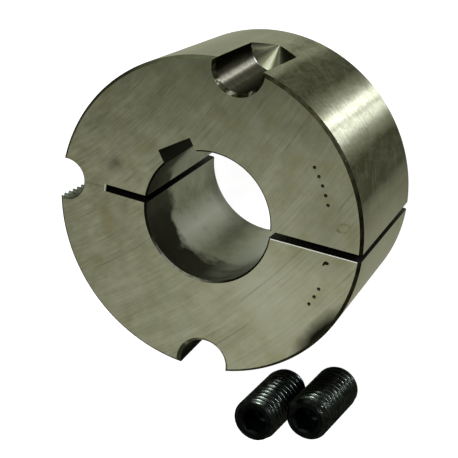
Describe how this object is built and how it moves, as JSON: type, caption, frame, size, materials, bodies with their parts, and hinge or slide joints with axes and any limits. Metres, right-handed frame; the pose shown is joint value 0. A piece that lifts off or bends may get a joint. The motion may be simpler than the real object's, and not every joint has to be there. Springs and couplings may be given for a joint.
{
  "type": "taper bush",
  "caption": "Split tapered bush with a keyed bore and three half-holes in its rim, standing on its small end beside its own socket grub screws.",
  "frame": {"origin": "on the bore axis at the bush's small end, which stands on the surface", "axes": "+Z along the bore axis towards the large face, +X through the middle of the full split"},
  "size_m": [0.0853, 0.1125, 0.0444],
  "materials": {
    "bush_iron": "ground and turned bare metal, lightly oiled",
    "screw_black": "black oxide, oiled"
  },
  "bodies": {
    "root": {"bush": "bush_iron", "grub_screw_1": "screw_black", "grub_screw_2": "screw_black"}
  },
  "joints": []
}
